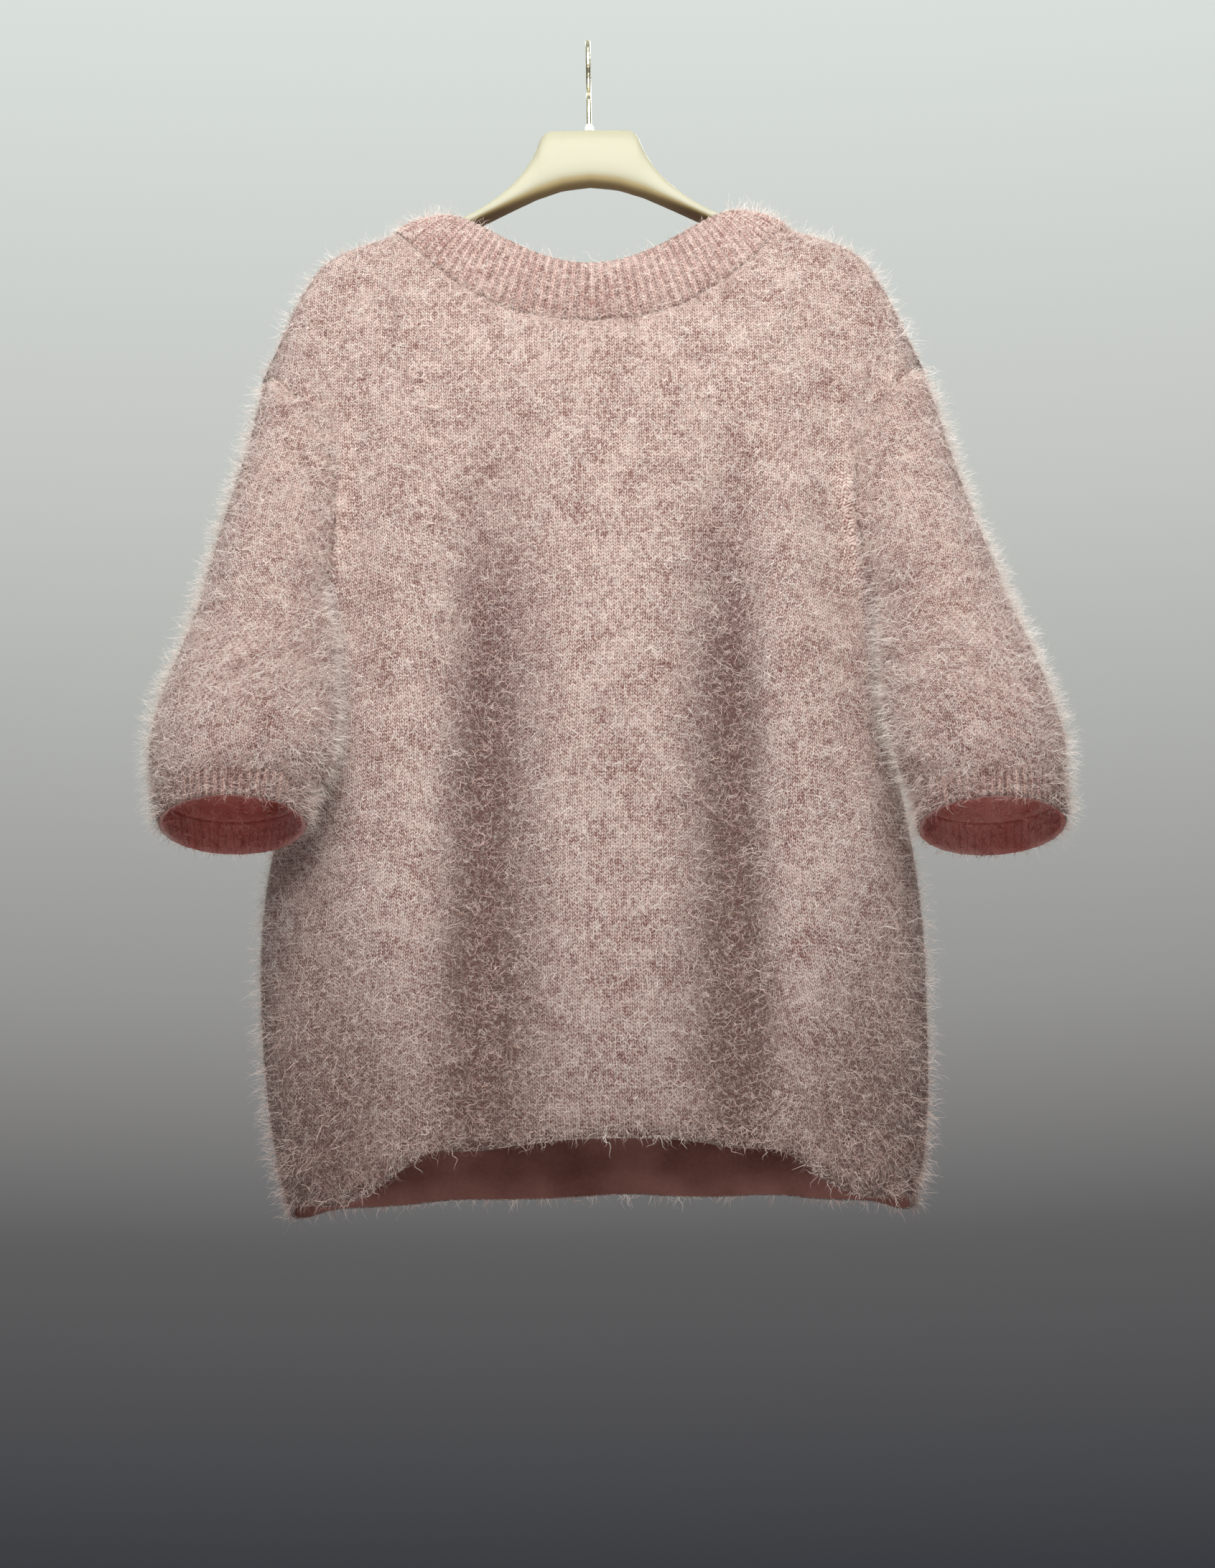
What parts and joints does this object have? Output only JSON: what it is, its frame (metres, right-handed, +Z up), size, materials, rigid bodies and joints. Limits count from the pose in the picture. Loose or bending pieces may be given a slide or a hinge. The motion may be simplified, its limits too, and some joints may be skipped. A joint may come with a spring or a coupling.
{
  "type": "mohair pullover on a moulded clothes hanger",
  "caption": "Oversized fluffy mohair pullover with a wide ribbed crew neck and short balloon sleeves, hanging on a moulded plastic hanger with a swivel hook.",
  "frame": {"origin": "the point inside the top of the hook's bend, where a rail carries the hanger", "axes": "+Z up, +X to the right as the garment's front is seen, the front faces -Y"},
  "size_m": [0.6005, 0.1936, 0.8694],
  "materials": {
    "mohair": "brushed mohair stockinette in dusty pink",
    "ribbing": "ribbed mohair knit, a little pinker",
    "hanger_plastic": "glossy cream moulding",
    "collar_plastic": "white ferrule",
    "hook_wire": "pale brass-coloured wire"
  },
  "bodies": {
    "root": {"front": "mohair", "back": "mohair", "sleeve_left": "mohair", "sleeve_right": "mohair", "neckband": "ribbing", "cuff_left": "ribbing", "cuff_right": "ribbing", "hanger": "hanger_plastic", "hook_collar": "collar_plastic", "hook": "hook_wire"}
  },
  "joints": []
}
